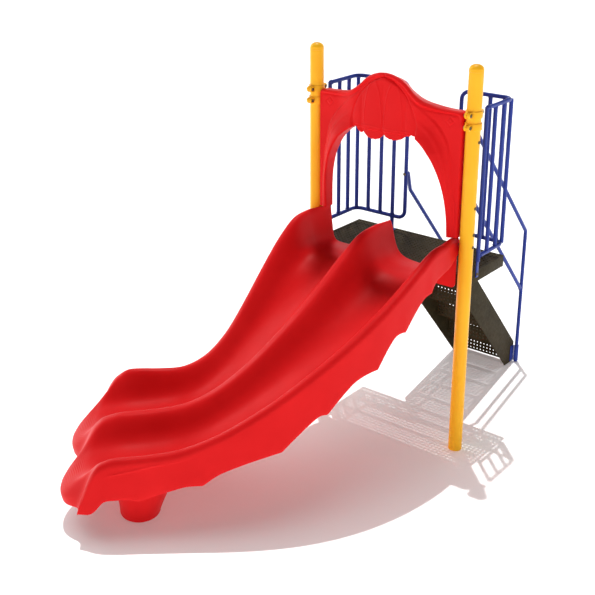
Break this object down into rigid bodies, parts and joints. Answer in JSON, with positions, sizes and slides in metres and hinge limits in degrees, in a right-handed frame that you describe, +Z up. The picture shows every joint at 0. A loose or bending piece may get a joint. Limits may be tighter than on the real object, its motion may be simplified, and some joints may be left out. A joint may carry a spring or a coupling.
{
  "type": "playground wave slide",
  "caption": "Double wave slide that curves to one side, with a closed-riser stair, perforated deck, tube posts, a draped entry arch, picket barriers and handrails.",
  "frame": {"origin": "centre of the whole object's bounding box in plan, on the ground", "axes": "+Z up; the two posts stand on a line parallel to X; the chute leaves towards -Y and bends towards -X; the stair climbs from +Y"},
  "size_m": [1.9335, 3.6441, 2.549],
  "materials": {
    "moulded_red": "rotationally moulded polyethylene, semi-gloss with a faint moulding grain",
    "yellow_coat": "smooth powder coat, semi-gloss",
    "blue_coat": "smooth powder coat, semi-gloss",
    "brown_vinyl": "thick dipped vinyl over perforated steel, satin",
    "zinc_bolt": "zinc-plated steel, satin"
  },
  "bodies": {
    "root": {"arch_panel": "moulded_red", "deck": "brown_vinyl", "deck_rib_1": "brown_vinyl", "deck_rib_2": "brown_vinyl", "flange_bolt_1": "zinc_bolt", "flange_bolt_2": "zinc_bolt", "flange_bolt_3": "zinc_bolt", "flange_bolt_4": "zinc_bolt", "left_arch_bolt_1": "zinc_bolt", "left_arch_bolt_2": "zinc_bolt", "left_arch_bolt_3": "zinc_bolt", "left_barrier": "blue_coat", "left_chute_bolt": "zinc_bolt", "left_deck_bracket": "brown_vinyl", "left_foot": "moulded_red", "left_foot_bolt": "zinc_bolt", "left_handrail": "blue_coat", "left_lower_collar": "yellow_coat", "left_lower_collar_front_bolt": "zinc_bolt", "left_lower_rail_bolt": "zinc_bolt", "left_post": "yellow_coat", "left_post_cap": "yellow_coat", "left_rail_bracket": "blue_coat", "left_stringer": "brown_vinyl", "left_tab_bolt": "zinc_bolt", "left_upper_collar": "yellow_coat", "left_upper_collar_front_bolt": "zinc_bolt", "left_upper_collar_rear_bolt": "zinc_bolt", "left_upper_rail_bolt": "zinc_bolt", "right_arch_bolt_1": "zinc_bolt", "right_arch_bolt_2": "zinc_bolt", "right_arch_bolt_3": "zinc_bolt", "right_barrier": "blue_coat", "right_chute_bolt": "zinc_bolt", "right_deck_bracket": "brown_vinyl", "right_foot": "moulded_red", "right_foot_bolt": "zinc_bolt", "right_handrail": "blue_coat", "right_lower_collar": "yellow_coat", "right_lower_collar_front_bolt": "zinc_bolt", "right_lower_rail_bolt": "zinc_bolt", "right_post": "yellow_coat", "right_post_cap": "yellow_coat", "right_rail_bracket": "blue_coat", "right_stringer": "brown_vinyl", "right_tab_bolt": "zinc_bolt", "right_upper_collar": "yellow_coat", "right_upper_collar_front_bolt": "zinc_bolt", "right_upper_collar_rear_bolt": "zinc_bolt", "right_upper_rail_bolt": "zinc_bolt", "slide_chute": "moulded_red", "top_riser": "brown_vinyl", "tread_1": "brown_vinyl", "tread_2": "brown_vinyl", "tread_3": "brown_vinyl", "tread_4": "brown_vinyl", "tread_5": "brown_vinyl"}
  },
  "joints": []
}
